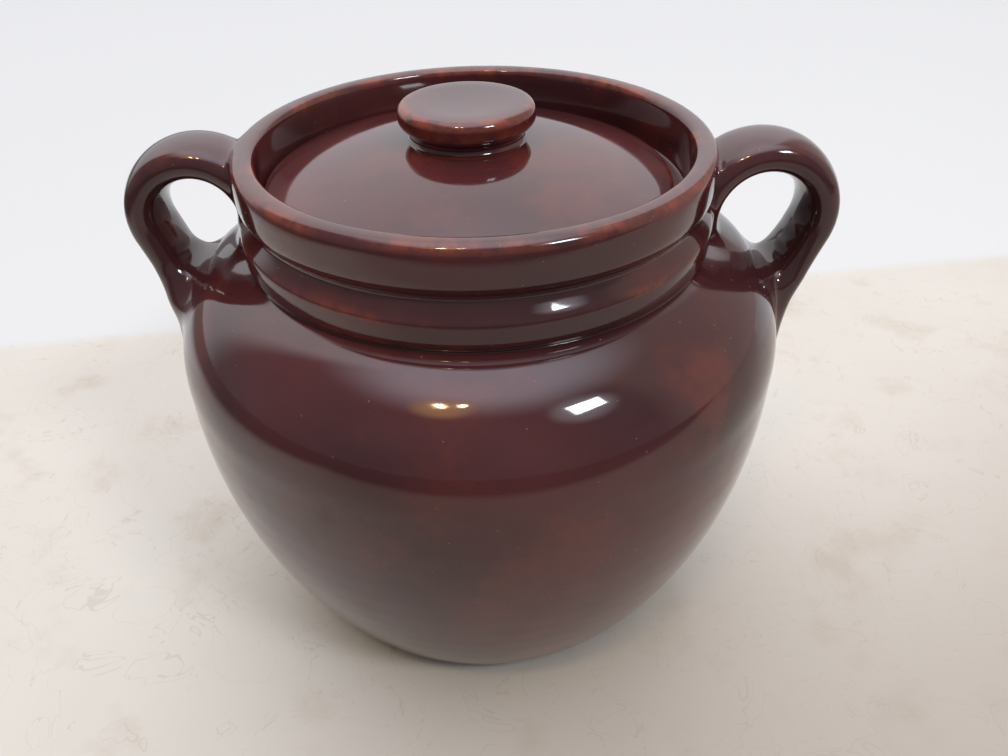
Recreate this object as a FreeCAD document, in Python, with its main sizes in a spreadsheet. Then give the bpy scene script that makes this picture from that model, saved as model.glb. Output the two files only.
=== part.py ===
import FreeCAD, Part
import math
import os

import Sketcher
from FreeCAD import Placement, Rotation, Vector

# Stoneware bean pot with a loose lid: a round body with two strap handles, and a lid with a button knob.
# Millimetres. The origin is the centre of the flat foot on the table, +Z is up, the handles lie along X.

# Driving sizes. What follows from them, such as the height of the rim, is worked out further down.
SIZES = {
    # Body of the pot: radii from the axis, heights from the table
    "belly_radius": 89.2,
    "belly_height": 88.8,
    "belly_band": 6.9,
    "belly_curve": 161.0,
    "shoulder_curve": 31.0,
    "base_curve": 17.0,
    "wall": 7.0,
    "floor_thickness": 8.0,
    "floor_curve": 16.0,
    # Mouth: the bore holds the lid, the ledge carries it, the throat opens below
    "bore_radius": 59.1,
    "ledge_depth": 15.0,
    "ledge_width": 7.5,
    "throat_round": 3.5,
    # Neck, upwards from the shoulder: a ring, a groove and a broad lip
    "ring_overhang": 1.7,
    "ring_under_curve": 2.4,
    "ring_band": 5.8,
    "ring_top_round": 1.4,
    "ring_slope": 3.6,
    "ring_stand": 0.6,
    "groove_depth": 3.65,
    "lip_under_curve": 4.5,
    "lip_band": 10.0,
    "lip_thickness": 6.65,
    "lip_outer_round": 2.2,
    "lip_inner_round": 1.2,
    # Handles: each path bends over between the neck and a point that stands clear of the belly
    "right_inset": 2.05,
    "right_stand": 9.9,
    "right_drop": 24.3,
    "right_knee_rise": 9.0,
    "right_knee_share": 0.38,
    "right_tail_sink": 0.8,
    "left_inset": 4.25,
    "left_stand": 3.95,
    "left_drop": 19.4,
    "left_knee_rise": 18.7,
    "left_knee_share": 0.8,
    "left_tail_sink": 4.2,
    "handle_root_lean": 20.0,
    "handle_root_depth": 8.6,
    "handle_toe": 11.0,
    "toe_sink": 2.5,
    "root_half_width": 13.0,
    "root_half_thickness": 5.4,
    "strap_half_width": 10.4,
    "strap_half_thickness": 5.6,
    "tail_half_width": 13.0,
    "tail_half_thickness": 3.4,
    "toe_half_width": 12.0,
    "toe_half_thickness": 1.0,
    "edge_share": 0.72,
    # Lid
    "lid_clearance": 2.2,
    "lid_edge_round": 2.3,
    "lid_dome": 150.0,
    "lid_wall": 6.5,
    "lid_seat_width": 6.0,
    "lid_play_used": 0.9,
    # Knob
    "knob_radius": 18.6,
    "knob_height": 9.8,
    "knob_top_round": 2.4,
    "knob_side": 2.2,
    "knob_under_curve": 3.2,
    "knob_waist_radius": 15.2,
    "knob_waist_height": 2.6,
    "knob_foot_flare": 1.6,
    "knob_dish_radius": 13.0,
    "knob_dish_depth": 0.6,
}


class Size:
    """A length or ratio that knows its number now and the expression that the document keeps."""

    def __init__(self, value, text):
        self.value = float(value)
        self.text = text

    def __add__(self, other):
        other = as_size(other)
        return Size(self.value + other.value, "(%s + %s)" % (self.text, other.text))

    def __sub__(self, other):
        other = as_size(other)
        return Size(self.value - other.value, "(%s - %s)" % (self.text, other.text))

    def __mul__(self, other):
        other = as_size(other)
        return Size(self.value * other.value, "(%s * %s)" % (self.text, other.text))

    def __truediv__(self, other):
        other = as_size(other)
        return Size(self.value / other.value, "(%s / %s)" % (self.text, other.text))

    def __neg__(self):
        return Size(-self.value, "(0 - %s)" % self.text)


def as_size(number):
    if isinstance(number, Size):
        return number
    return Size(number, repr(float(number)))


def root(size):
    return Size(math.sqrt(size.value), "sqrt(%s)" % size.text)


def leg(hypotenuse, other_leg):
    """The second short side of a right triangle."""
    return root(hypotenuse * hypotenuse - other_leg * other_leg)


def cosine(degrees):
    return Size(math.cos(math.radians(degrees.value)), "cos(%s * 1 deg)" % degrees.text)


def sine(degrees):
    return Size(math.sin(math.radians(degrees.value)), "sin(%s * 1 deg)" % degrees.text)


def heading(sine_part, cosine_part):
    """The angle in degrees that has this sine and cosine."""
    return Size(math.degrees(math.atan2(sine_part.value, cosine_part.value)),
                "(atan2(%s; %s) / 1 deg)" % (sine_part.text, cosine_part.text))


def make_sheet(doc):
    sheet = doc.addObject("Spreadsheet::Sheet", "Sizes")
    for row, name in enumerate(SIZES, start=1):
        sheet.set("B%d" % row, repr(SIZES[name]))
        sheet.setAlias("B%d" % row, name)
    doc.recompute()
    return {name: Size(SIZES[name], "Sizes.%s" % name) for name in SIZES}


def origin_plane(body, role):
    for feature in body.Origin.OriginFeatures:
        if feature.Role == role:
            return feature
    raise RuntimeError("no origin plane " + role)


def new_sketch(body, name, role):
    sketch = body.newObject("Sketcher::SketchObject", name)
    sketch.AttachmentSupport = [(origin_plane(body, role), "")]
    sketch.MapMode = "FlatFace"
    return sketch


def pin(sketch, geometry, vertex, point, name):
    """Hold a vertex of the sketch at a point whose two coordinates follow the sheet."""
    for kind, axis_point, size in (("DistanceX", "across", point[0]), ("DistanceY", "up", point[1])):
        index = sketch.addConstraint(Sketcher.Constraint(kind, -1, 1, geometry, vertex, size.value))
        label = "%s_%s" % (name, axis_point)
        sketch.renameConstraint(index, label)
        sketch.setExpression("Constraints." + label, size.text)


def arc_through(start, end, radius, turn):
    """The short arc of a given radius between two points, and which of its vertices is the end.

    It turns anticlockwise from start to end where turn is 1, and clockwise where turn is -1.
    """
    ax, ay = start[0].value, start[1].value
    bx, by = end[0].value, end[1].value
    half = math.hypot(bx - ax, by - ay) / 2
    rise = math.sqrt(max(radius.value ** 2 - half ** 2, 0.0))
    ux, uy = (bx - ax) / (2 * half), (by - ay) / (2 * half)
    centre = Vector((ax + bx) / 2 - turn * rise * uy, (ay + by) / 2 + turn * rise * ux, 0)
    first = math.atan2(ay - centre.y, ax - centre.x)
    last = math.atan2(by - centre.y, bx - centre.x)
    circle = Part.Circle(centre, Vector(0, 0, 1), radius.value)
    if turn > 0:
        return Part.ArcOfCircle(circle, first, last if last > first else last + 2 * math.pi), 2
    return Part.ArcOfCircle(circle, last, first if first > last else first + 2 * math.pi), 1


def draw_path(sketch, steps, closed=True):
    """Draw an outline of lines and arcs whose points and bends follow the sheet.

    Each step is (name, point) for a straight line, or (name, point, radius, turn) for an arc, and it is
    reached from the step before it. An open path starts at its first step, which draws nothing.
    """
    ends = []
    for number in range(0 if closed else 1, len(steps)):
        before = steps[number - 1]
        step = steps[number]
        if len(step) == 2:
            start = Vector(before[1][0].value, before[1][1].value, 0)
            index = sketch.addGeometry(Part.LineSegment(start, Vector(step[1][0].value, step[1][1].value, 0)))
            end_vertex = 2
        else:
            arc, end_vertex = arc_through(before[1], step[1], step[2], step[3])
            index = sketch.addGeometry(arc)
            bend = sketch.addConstraint(Sketcher.Constraint("Radius", index, step[2].value))
            sketch.renameConstraint(bend, step[0] + "_bend")
            sketch.setExpression("Constraints.%s_bend" % step[0], step[2].text)
        pin(sketch, index, end_vertex, step[1], step[0])
        if ends:
            sketch.addConstraint(Sketcher.Constraint("Coincident", index - 1, ends[-1], index, 3 - end_vertex))
        ends.append(end_vertex)
    if closed:
        last = len(ends) - 1
        sketch.addConstraint(Sketcher.Constraint("Coincident", last, ends[last], 0, 3 - ends[0]))
    else:
        pin(sketch, 0, 3 - ends[0], steps[0][1], steps[0][0])


# Outlines


def belly_points(size):
    """Named points of the outer surface, stacked from the foot up to the rim."""
    point = {}
    curve_centre = size["belly_radius"] - size["belly_curve"]
    reach = size["belly_curve"] - size["base_curve"]
    base_centre = curve_centre + leg(reach, size["belly_height"] - size["base_curve"])
    grow = size["belly_curve"] / reach
    point["foot_edge"] = (base_centre, as_size(0))
    point["base_end"] = (curve_centre + (base_centre - curve_centre) * grow,
                         size["belly_height"] - (size["belly_height"] - size["base_curve"]) * grow)
    point["belly_low"] = (size["belly_radius"], size["belly_height"])
    point["belly_high"] = (size["belly_radius"], size["belly_height"] + size["belly_band"])

    lip_radius = size["bore_radius"] + size["lip_thickness"]
    groove_radius = lip_radius - size["groove_depth"]
    ring_radius = lip_radius + size["ring_stand"]
    neck_radius = ring_radius - size["ring_overhang"]
    shoulder_centre = size["belly_radius"] - size["shoulder_curve"]
    shoulder_rise = leg(size["shoulder_curve"], neck_radius - shoulder_centre)
    under_drop = leg(size["ring_under_curve"], size["ring_under_curve"] - size["ring_overhang"])
    lip_drop = leg(size["lip_under_curve"], size["lip_under_curve"] - size["groove_depth"])
    point["neck"] = (neck_radius, point["belly_high"][1] + shoulder_rise)
    point["ring_low"] = (ring_radius, point["neck"][1] + under_drop)
    point["ring_side"] = (ring_radius, point["ring_low"][1] + size["ring_band"])
    point["ring_top"] = (ring_radius - size["ring_top_round"], point["ring_side"][1] + size["ring_top_round"])
    point["groove"] = (groove_radius, point["ring_top"][1] + size["ring_slope"])
    point["lip_low"] = (lip_radius, point["groove"][1] + lip_drop)
    rim_height = point["lip_low"][1] + size["lip_band"]
    point["lip_side"] = (lip_radius, rim_height - size["lip_outer_round"])
    point["lip_top"] = (lip_radius - size["lip_outer_round"], rim_height)
    point["ledge_outside"] = (size["bore_radius"], rim_height - size["ledge_depth"])
    return point


def kept_points(sketch, point):
    """The same points, read back from the named distances of the sketch that they were drawn in."""
    return {name: tuple(Size(size.value, "(%s.Constraints.%s_%s / 1 mm)" % (sketch.Name, name, way))
                        for way, size in zip(("across", "up"), place))
            for name, place in point.items()}


def outer_steps(size, point):
    """Steps of the outer surface above the foot, shared by the body and by what is joined to it."""
    return [
        ("base_end", point["base_end"], size["base_curve"], 1),
        ("belly_low", point["belly_low"], size["belly_curve"], 1),
        ("belly_high", point["belly_high"]),
        ("neck", point["neck"], size["shoulder_curve"], 1),
        ("ring_low", point["ring_low"], size["ring_under_curve"], 1),
        ("ring_side", point["ring_side"]),
        ("ring_top", point["ring_top"], size["ring_top_round"], 1),
        ("groove", point["groove"]),
        ("lip_low", point["lip_low"], size["lip_under_curve"], 1),
        ("lip_side", point["lip_side"]),
        ("lip_top", point["lip_top"], size["lip_outer_round"], 1),
    ]


def inner_steps(size, point):
    """Steps of the bore, the ledge, the throat and the hollow, from the rim down to the floor."""
    bore, ledge = point["ledge_outside"]
    rim = point["lip_top"][1]
    throat = bore - size["ledge_width"]
    curve_centre = size["belly_radius"] - size["belly_curve"]
    shoulder_centre = size["belly_radius"] - size["shoulder_curve"]
    hollow_radius = size["belly_radius"] - size["wall"]
    hollow_top = point["belly_high"][1] + size["shoulder_curve"] - size["wall"]
    inner_curve = size["belly_curve"] - size["wall"]
    reach = inner_curve - size["floor_curve"]
    corner_height = size["floor_thickness"] + size["floor_curve"]
    corner_centre = curve_centre + leg(reach, size["belly_height"] - corner_height)
    grow = inner_curve / reach
    corner_end = (curve_centre + (corner_centre - curve_centre) * grow,
                  size["belly_height"] - (size["belly_height"] - corner_height) * grow)
    round_in = size["lip_inner_round"]
    return [
        ("rim_flat", (bore + round_in, rim)),
        ("rim_inside", (bore, rim - round_in), round_in, 1),
        ("ledge_outside", (bore, ledge)),
        ("ledge_inside", (throat, ledge)),
        ("throat_low", (throat, hollow_top + size["throat_round"])),
        ("throat_turn", (throat + size["throat_round"], hollow_top), size["throat_round"], 1),
        ("hollow_top", (shoulder_centre, hollow_top)),
        ("hollow_high", (hollow_radius, point["belly_high"][1]), size["shoulder_curve"] - size["wall"], -1),
        ("hollow_low", (hollow_radius, size["belly_height"])),
        ("corner_high", corner_end, inner_curve, -1),
        ("corner_low", (corner_centre, size["floor_thickness"]), size["floor_curve"], -1),
        ("floor_middle", (as_size(0), size["floor_thickness"])),
    ]


# Sub-parts


def make_pot_body(doc, size):
    """The thrown body: flat foot, belly, shoulder, ringed neck and the ledge for the lid, hollow inside.

    It also gives back the named points of its outline, for what is joined to it or rests in it.
    """
    body = doc.addObject("PartDesign::Body", "PotBody")
    body.Label = "pot_body"
    point = belly_points(size)
    sketch = new_sketch(body, "PotOutline", "XZ_Plane")
    steps = outer_steps(size, point) + inner_steps(size, point) + [
        ("foot_middle", (as_size(0), as_size(0))),
        ("foot_edge", point["foot_edge"]),
    ]
    draw_path(sketch, steps)
    turn = body.newObject("PartDesign::Revolution", "PotTurn")
    turn.Profile = sketch
    turn.ReferenceAxis = (sketch, ["V_Axis"])
    turn.Angle = 360
    doc.recompute()
    return body, kept_points(sketch, point)


def oval_section(body, name, place, tilt, half_width, half_thickness, edge_share):
    """A strap section of four tangent arcs, square to the path: thickness across, width along Y."""
    sketch = new_sketch(body, name, "XY_Plane")
    edge = half_thickness * edge_share
    span = half_width - edge
    crown = (span * span + half_thickness * half_thickness - edge * edge) / ((half_thickness - edge) * 2)
    share = crown / (crown - edge)
    corner = (-(crown - half_thickness) + (crown - half_thickness) * share, span * share)
    steps = [
        ("out_right", (corner[0], -corner[1]), edge, 1),
        ("out_left", (corner[0], corner[1]), crown, 1),
        ("in_left", (-corner[0], corner[1]), edge, 1),
        ("in_right", (-corner[0], -corner[1]), crown, 1),
    ]
    draw_path(sketch, steps)
    sketch.AttachmentOffset = Placement(Vector(place[0].value, 0, place[1].value),
                                        Rotation(Vector(0, 1, 0), tilt.value))
    sketch.setExpression("AttachmentOffset.Base.x", place[0].text)
    sketch.setExpression("AttachmentOffset.Base.z", place[1].text)
    sketch.setExpression("AttachmentOffset.Rotation.Angle", "%s * 1 deg" % tilt.text)
    return sketch


def make_handle(doc, size, point, name, title, side):
    """One strap handle, drawn on the +X side and turned round for the left.

    Its path rises out of the shoulder beside the neck, bends over in an arc, runs straight down towards a
    knee on the belly, turns upright there in a wide arc and ends in a short toe just under the surface of
    the belly. The strap is cut to the outer surface of the body.
    """
    body = doc.addObject("PartDesign::Body", title)
    body.Label = name
    inner = point["lip_side"][0] - size[side + "_inset"]
    outer = size["belly_radius"] + size[side + "_stand"]
    bend = (outer - inner) / 2
    reach = (outer + inner) / 2
    height = point["lip_top"][1] - size[side + "_drop"]
    top = (reach, height + bend)

    root_lean = size["handle_root_lean"]
    root_height = point["neck"][1] - size["handle_root_depth"]
    rise = (reach - bend * cosine(root_lean), height - bend * sine(root_lean))
    start = (rise[0] + (rise[1] - root_height) * sine(root_lean) / cosine(root_lean), root_height)

    knee = (size["belly_radius"] - size[side + "_tail_sink"], size["belly_height"] + size[side + "_knee_rise"])
    across = knee[0] - reach
    down = height - knee[1]
    apart_squared = across * across + down * down
    tangent = root(apart_squared - bend * bend)
    lean_cosine = (bend * across + tangent * down) / apart_squared
    lean_sine = (bend * down - tangent * across) / apart_squared
    lean = heading(lean_sine, lean_cosine)
    over = (reach + bend * lean_cosine, height - bend * lean_sine)
    knee_reach = tangent * size[side + "_knee_share"]
    run_end = (knee[0] + knee_reach * lean_sine, knee[1] + knee_reach * lean_cosine)
    tail = (knee[0], knee[1] - knee_reach)
    tail_bend = knee_reach * (lean_cosine + 1) / lean_sine
    path_end = (tail[0], tail[1] - size["handle_toe"])
    toe = (size["belly_radius"] - size["toe_sink"] - size["toe_half_thickness"], path_end[1])

    spine = new_sketch(body, title + "Spine", "XZ_Plane")
    draw_path(spine, [
        ("root", start),
        ("rise", rise),
        ("top", top, bend, -1),
        ("over", over, bend, -1),
        ("run_end", run_end),
        ("tail", tail, tail_bend, 1),
        ("path_end", path_end),
    ], closed=False)

    stations = [
        ("Root", start, root_lean, "root"),
        ("Top", top, as_size(90), "strap"),
        ("Over", over, lean + 180, "strap"),
        ("Tail", tail, as_size(180), "tail"),
        ("Toe", toe, as_size(180), "toe"),
    ]
    sections = [oval_section(body, title + station, place, tilt, size[kind + "_half_width"],
                             size[kind + "_half_thickness"], size["edge_share"])
                for station, place, tilt, kind in stations]
    doc.recompute()
    pipe = body.newObject("PartDesign::AdditivePipe", title + "Strap")
    pipe.Profile = sections[0]
    pipe.Spine = spine
    pipe.Sections = [(section, [""]) for section in sections[1:]]
    pipe.Transformation = "Multisection"
    doc.recompute()

    seat = new_sketch(body, title + "Seat", "XZ_Plane")
    draw_path(seat, outer_steps(size, point) + [
        ("rim_middle", (as_size(0), point["lip_top"][1])),
        ("foot_middle", (as_size(0), as_size(0))),
        ("foot_edge", point["foot_edge"]),
    ])
    trim = body.newObject("PartDesign::Groove", title + "Trim")
    trim.Profile = seat
    trim.ReferenceAxis = (seat, ["V_Axis"])
    trim.Angle = 360
    if side == "left":
        body.Placement = Placement(Vector(0, 0, 0), Rotation(Vector(0, 0, 1), 180))
    return body


def lid_levels(size, point):
    """The radius of the lid, the height of its seat on the ledge and the height of the dome's centre."""
    radius = point["ledge_outside"][0] - size["lid_clearance"]
    seat = point["ledge_outside"][1]
    edge = size["lid_edge_round"]
    dome_centre = seat + edge - leg(size["lid_dome"] - edge, radius - edge)
    return radius, seat, dome_centre


def make_lid(doc, size, point, shift):
    """The lid: a low dome with a rounded edge, hollow below, on a flat seat ring."""
    body = doc.addObject("PartDesign::Body", "Lid")
    body.Label = "lid"
    radius, seat, dome_centre = lid_levels(size, point)
    edge = size["lid_edge_round"]
    dome = size["lid_dome"]
    grow = dome / (dome - edge)
    edge_top = ((radius - edge) * grow, dome_centre + (seat + edge - dome_centre) * grow)
    seat_inside = radius - edge - size["lid_seat_width"]
    hollow_top = dome_centre + dome - size["lid_wall"]
    hollow_rise = hollow_top - seat
    hollow_curve = (seat_inside * seat_inside + hollow_rise * hollow_rise) / (hollow_rise * 2)
    sketch = new_sketch(body, "LidOutline", "XZ_Plane")
    steps = [
        ("seat_outside", (radius - edge, seat)),
        ("edge_side", (radius, seat + edge), edge, 1),
        ("edge_top", edge_top, edge, 1),
        ("crown", (as_size(0), dome_centre + dome), dome, 1),
        ("hollow_crown", (as_size(0), hollow_top)),
        ("seat_inside", (seat_inside, seat), hollow_curve, -1),
    ]
    draw_path(sketch, steps)
    turn = body.newObject("PartDesign::Revolution", "LidTurn")
    turn.Profile = sketch
    turn.ReferenceAxis = (sketch, ["V_Axis"])
    turn.Angle = 360
    body.setExpression("Placement.Base.x", shift.text)
    return body


def make_knob(doc, size, point, shift):
    """The knob: a dished button on a short waist that flares onto the dome of the lid."""
    body = doc.addObject("PartDesign::Body", "LidKnob")
    body.Label = "lid_knob"
    dome_centre = lid_levels(size, point)[2]
    dome = size["lid_dome"]
    foot = size["knob_waist_radius"] + size["knob_foot_flare"]
    foot_height = dome_centre + leg(dome, foot)
    waist_low = foot_height + size["knob_foot_flare"]
    waist_high = foot_height + size["knob_waist_height"]
    knob_top = foot_height + size["knob_height"]
    side_high = knob_top - size["knob_top_round"]
    side_low = side_high - size["knob_side"]
    under = size["knob_radius"] - size["knob_waist_radius"]
    top_flat = size["knob_radius"] - size["knob_top_round"]
    dish = size["knob_dish_radius"]
    dish_depth = size["knob_dish_depth"]
    dish_curve = (dish * dish + dish_depth * dish_depth) / (dish_depth * 2)
    sketch = new_sketch(body, "KnobOutline", "XZ_Plane")
    steps = [
        ("foot", (foot, foot_height), dome, -1),
        ("waist_low", (size["knob_waist_radius"], waist_low), size["knob_foot_flare"], -1),
        ("waist_high", (size["knob_waist_radius"], waist_high)),
        ("side_low", (size["knob_radius"], side_low), size["knob_under_curve"] + under, 1),
        ("side_high", (size["knob_radius"], side_high)),
        ("top_edge", (top_flat, knob_top), size["knob_top_round"], 1),
        ("dish_edge", (dish, knob_top)),
        ("dish_middle", (as_size(0), knob_top - dish_depth), dish_curve, -1),
        ("foot_middle", (as_size(0), dome_centre + dome)),
    ]
    draw_path(sketch, steps)
    turn = body.newObject("PartDesign::Revolution", "KnobTurn")
    turn.Profile = sketch
    turn.ReferenceAxis = (sketch, ["V_Axis"])
    turn.Angle = 360
    body.setExpression("Placement.Base.x", shift.text)
    return body


def check_document(doc, bodies):
    for item in doc.Objects:
        if "Invalid" in item.State or "Error" in item.State:
            raise RuntimeError("failed object: %s %s" % (item.Name, item.State))
    for body in bodies:
        shape = body.Shape
        if shape.isNull() or not shape.isValid():
            raise RuntimeError("bad shape: " + body.Label)
        box = shape.BoundBox
        print("%-14s solids %d  volume %.0f  x %.2f..%.2f  y %.2f..%.2f  z %.2f..%.2f" % (
            body.Label, len(shape.Solids), shape.Volume,
            box.XMin, box.XMax, box.YMin, box.YMax, box.ZMin, box.ZMax))


def main():
    doc = FreeCAD.newDocument("BeanPot")
    size = make_sheet(doc)
    shift = -(size["lid_clearance"] * size["lid_play_used"])
    pot, point = make_pot_body(doc, size)
    bodies = [
        pot,
        make_handle(doc, size, point, "handle_right", "RightHandle", "right"),
        make_handle(doc, size, point, "handle_left", "LeftHandle", "left"),
        make_lid(doc, size, point, shift),
        make_knob(doc, size, point, shift),
    ]
    doc.recompute()
    check_document(doc, bodies)
    os.makedirs("parts", exist_ok=True)
    for body in bodies:
        body.Shape.exportStep(os.path.join("parts", body.Label + ".step"))


main()
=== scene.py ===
"""Stoneware bean pot: glazed body, strap handles, domed lid and button knob, built round the fixed frame."""

import math

import bpy
import numpy as np
from mathutils import Matrix, Vector


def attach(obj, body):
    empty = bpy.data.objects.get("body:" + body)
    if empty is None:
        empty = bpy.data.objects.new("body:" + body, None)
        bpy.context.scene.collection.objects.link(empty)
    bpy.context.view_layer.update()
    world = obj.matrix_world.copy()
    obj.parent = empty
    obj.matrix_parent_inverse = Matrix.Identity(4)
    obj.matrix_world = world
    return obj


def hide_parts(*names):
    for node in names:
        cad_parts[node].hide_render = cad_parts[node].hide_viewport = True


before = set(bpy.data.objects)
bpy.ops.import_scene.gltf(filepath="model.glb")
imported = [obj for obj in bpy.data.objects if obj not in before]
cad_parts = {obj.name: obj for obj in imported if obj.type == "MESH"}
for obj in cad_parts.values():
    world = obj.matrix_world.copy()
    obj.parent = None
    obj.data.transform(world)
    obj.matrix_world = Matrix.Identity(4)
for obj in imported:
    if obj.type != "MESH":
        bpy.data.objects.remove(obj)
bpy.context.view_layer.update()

MM = 0.001

# Sizes in millimetres, the same as those of the solids. Heights are from the table, radii from the axis.
BELLY_RADIUS, BELLY_HEIGHT, BELLY_BAND = 89.2, 88.8, 6.9
BELLY_CURVE, SHOULDER_CURVE, BASE_CURVE = 161.0, 31.0, 17.0
WALL, FLOOR_THICKNESS, FLOOR_CURVE = 7.0, 8.0, 16.0
BORE_RADIUS, LEDGE_DEPTH, LEDGE_WIDTH, THROAT_ROUND = 59.1, 15.0, 7.5, 3.5
RING_OVERHANG, RING_UNDER_CURVE, RING_BAND = 1.7, 2.4, 5.8
RING_TOP_ROUND, RING_SLOPE, RING_STAND = 1.4, 3.6, 0.6
GROOVE_DEPTH, LIP_UNDER_CURVE, LIP_BAND, LIP_THICKNESS = 3.65, 4.5, 10.0, 6.65
LIP_OUTER_ROUND, LIP_INNER_ROUND = 2.2, 1.2

HANDLES = {
    "handle_right": dict(side=1, inset=2.05, stand=9.9, drop=24.3, knee_rise=9.0, knee_share=0.38, sink=0.8),
    "handle_left": dict(side=-1, inset=4.25, stand=3.95, drop=19.4, knee_rise=18.7, knee_share=0.8, sink=4.2),
}
ROOT_LEAN, ROOT_DEPTH, TOE = 20.0, 8.6, 11.0
# Half width and half thickness of the strap at its root, its bend, its tail and its toe
STRAP_SECTIONS = {"root": (13.0, 5.4), "bend": (10.4, 5.25), "tail": (13.0, 3.4), "toe": (12.0, 1.0)}
# Radius of the strap's edge as a share of its half thickness
EDGE_SHARE = 0.8

LID_CLEARANCE, LID_EDGE_ROUND, LID_DOME = 2.2, 2.3, 150.0
LID_WALL, LID_SEAT_WIDTH, LID_SHIFT = 6.5, 6.0, -1.98
LID_RADIUS = BORE_RADIUS - LID_CLEARANCE
KNOB_RADIUS, KNOB_HEIGHT, KNOB_TOP_ROUND, KNOB_SIDE = 18.6, 9.8, 2.4, 2.2
KNOB_UNDER_CURVE, KNOB_WAIST_RADIUS, KNOB_WAIST_HEIGHT, KNOB_FLARE = 3.2, 15.2, 2.6, 1.6
KNOB_DISH_RADIUS, KNOB_DISH_DEPTH = 13.0, 0.6
# How deep under the dome's surface the knob's skin starts, and its flare
KNOB_SINK, FLARE_SINK = 1.0, 0.02

# Spacing of the outlines' points, and the number of points round a turned skin
FINE_STEP = 0.25
SEGMENTS = 320

# How far the glaze rounds corners, and the depths below the rim, outside and inside, between which the lip's
# own rounding sets in
GLAZE_SOFTNESS, LIP_SOFTNESS, KNOB_SOFTNESS = 0.7, 1.6, 0.35
LIP_OUTSIDE, LIP_INSIDE = (22, 17), (10, 5)

# Reach over which a bend is measured, and the bends between which rust grows, in radians a millimetre
BEND_REACH, KNOB_BEND_REACH, HANDLE_BEND_REACH = 0.8, 0.7, 0.9
BREAK_BENDS, HANDLE_BREAK_BENDS, HANDLE_BREAK = (0.08, 0.42), (0.20, 0.45), 0.45

# Bare clay: heights above the table, the ledge and the lid's seat, and where it runs from the throat and from
# the seat's inner edge
BARE_FOOT, BARE_LEDGE, BARE_SEAT = 1.0, 0.6, 0.8
LEDGE_START, LEDGE_END, SEAT_INWARD = 0.5, 2.0, 2.0

# Unevenness of the thrown wall: its mean depth, the depth of its rings, lumps and ripples, and the radius
# within which it fades towards the axis
WAVE_DEPTH, WAVE_RINGS, WAVE_LUMPS, WAVE_RIPPLES = 0.09, 0.012, 0.05, 0.018
WAVE_FADE = 20.0


# Outlines: points (radius, height) in millimetres, joined by lines and arcs


def leg(hypotenuse, other):
    """The second short side of a right-angled triangle."""
    return math.sqrt(hypotenuse * hypotenuse - other * other)


def trace(steps, spacing=FINE_STEP):
    """Points along an outline. A step is (point,) after a line, or (point, radius, turn) after an arc.

    An arc turns anticlockwise where turn is 1 and clockwise where it is -1.
    """
    made = [np.array(steps[0][0], float)]
    for step in steps[1:]:
        start, end = made[-1], np.array(step[0], float)
        chord = np.linalg.norm(end - start)
        if len(step) == 1:
            count = max(1, round(chord / spacing))
            made += [start + (end - start) * i / count for i in range(1, count + 1)]
            continue
        radius, turn = step[1], step[2]
        along = (end - start) / chord
        normal = np.array([-along[1], along[0]]) * turn
        centre = (start + end) / 2 + normal * math.sqrt(max(radius * radius - chord * chord / 4, 0.0))
        first = math.atan2(*(start - centre)[::-1])
        sweep = 2 * math.asin(min(1.0, chord / (2 * radius))) * turn
        count = max(2, round(abs(sweep) * radius / spacing))
        angles = first + sweep * np.arange(1, count + 1) / count
        made += list(centre + radius * np.stack([np.cos(angles), np.sin(angles)], 1))
    return np.array(made)


def even(points, spacing):
    """The same line with evenly spaced points."""
    length = np.concatenate([[0], np.cumsum(np.linalg.norm(np.diff(points, axis=0), axis=1))])
    count = max(2, round(length[-1] / spacing))
    at = np.linspace(0, length[-1], count + 1)
    return np.stack([np.interp(at, length, points[:, 0]), np.interp(at, length, points[:, 1])], 1)


def step_between(low, high, value):
    """A smooth step from 0 at low to 1 at high, where low may be the greater."""
    t = np.clip((value - low) / (high - low), 0, 1)
    return t * t * (3 - 2 * t)


def soften(points, reach):
    """Round an outline's corners as a coat of glaze does. The points are evenly spaced, and the ends stay."""
    deviations = 4
    half = int(deviations * reach / FINE_STEP)
    weights = np.exp(-0.5 * (np.arange(-half, half + 1) * FINE_STEP / reach) ** 2)
    weights /= weights.sum()
    before = 2 * points[0] - points[half:0:-1]
    after = 2 * points[-1] - points[-2:-half - 2:-1]
    padded = np.concatenate([before, points, after])
    return np.stack([np.convolve(padded[:, i], weights, mode="valid") for i in (0, 1)], 1)


def bend_of(points, reach):
    """How sharply an outline turns at each point, in radians a millimetre, positive where it is convex."""
    smooth = soften(points, reach)
    ahead = np.gradient(smooth, axis=0)
    heading = np.unwrap(np.arctan2(ahead[:, 1], ahead[:, 0]))
    return np.gradient(heading) / FINE_STEP


def thin_out(points, values, turn=0.09, gap=1.5):
    """Keep a point after each small turn, in radians, or gap, in millimetres, and its values."""
    kept, swept, gone = [0], 0.0, 0.0
    ahead = np.diff(points, axis=0)
    length = np.linalg.norm(ahead, axis=1)
    heading = np.unwrap(np.arctan2(ahead[:, 1], ahead[:, 0]))
    for i in range(1, len(points) - 1):
        swept += abs(heading[i] - heading[i - 1])
        gone += length[i - 1]
        if swept > turn or gone > gap:
            kept.append(i)
            swept, gone = 0.0, 0.0
    kept.append(len(points) - 1)
    return points[kept], [v[kept] for v in values]


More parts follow.
